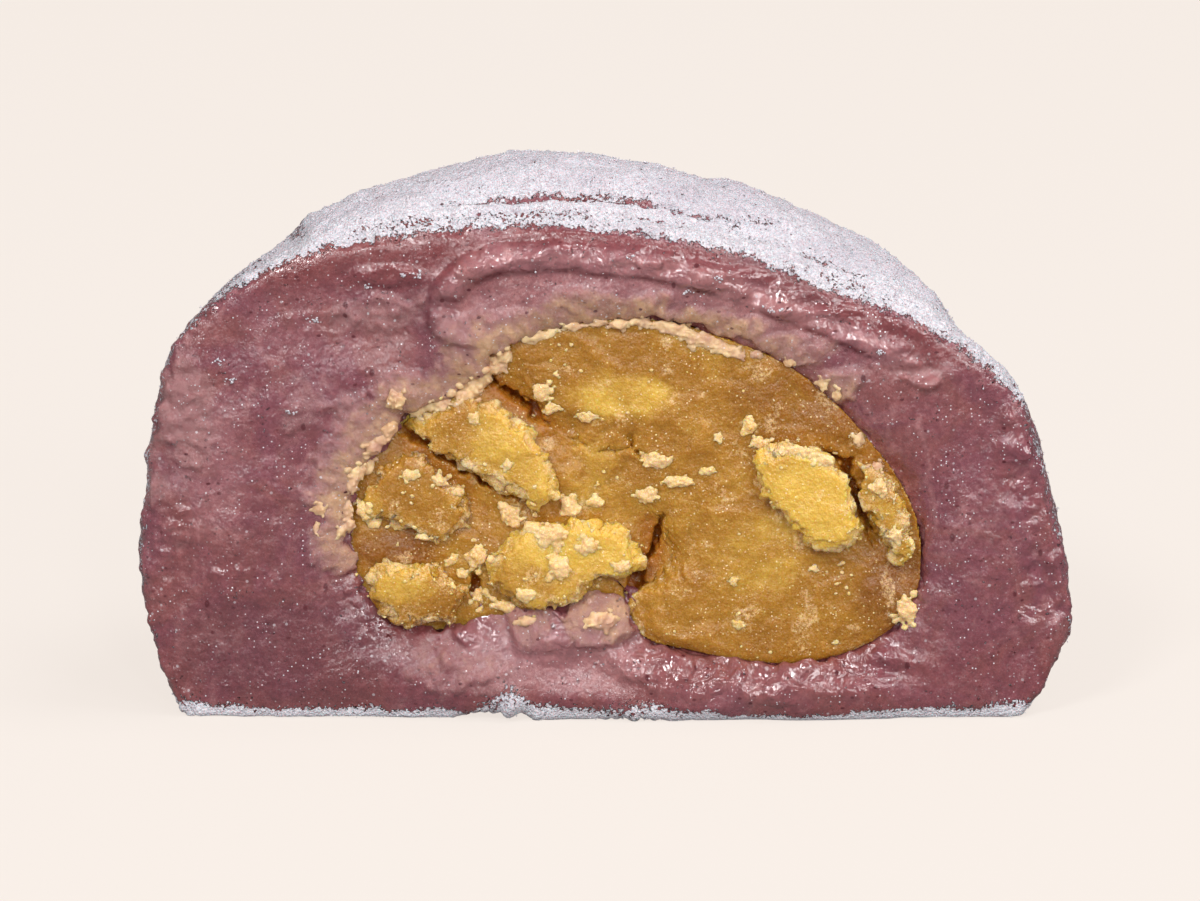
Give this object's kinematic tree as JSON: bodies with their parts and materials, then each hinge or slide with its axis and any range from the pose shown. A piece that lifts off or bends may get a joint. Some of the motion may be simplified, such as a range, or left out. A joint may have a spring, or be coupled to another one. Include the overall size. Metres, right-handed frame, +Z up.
{
  "type": "mochi rice cake half",
  "caption": "Half of a round mochi rice cake, cut upright: purple rice dough dusted with starch round a crumbly golden bean paste filling, resting on its flat base.",
  "frame": {"origin": "middle of the cake half's bounding box, at the height of its flat base", "axes": "+Z up; +X along the cut face, to the right as the cut face is looked at; +Y from the cut face into the cake, towards its round back"},
  "size_m": [0.0603, 0.0317, 0.0357],
  "materials": {
    "rice_dough": "moist, slightly glossy mauve rice dough, dusted white with starch on its top and skin",
    "bean_paste": "dense moist golden-brown bean paste, matt with fine glints",
    "loose_paste": "paler dry crumbly bean paste, matt"
  },
  "bodies": {
    "root": {"rice_dough": "rice_dough", "bean_paste": "bean_paste", "paste_flake_upper_left": "loose_paste", "paste_lump_left": "loose_paste", "paste_lump_lower_left": "loose_paste", "paste_lump_middle": "loose_paste", "paste_flake_right": "loose_paste", "paste_flake_rim": "loose_paste"}
  },
  "joints": []
}
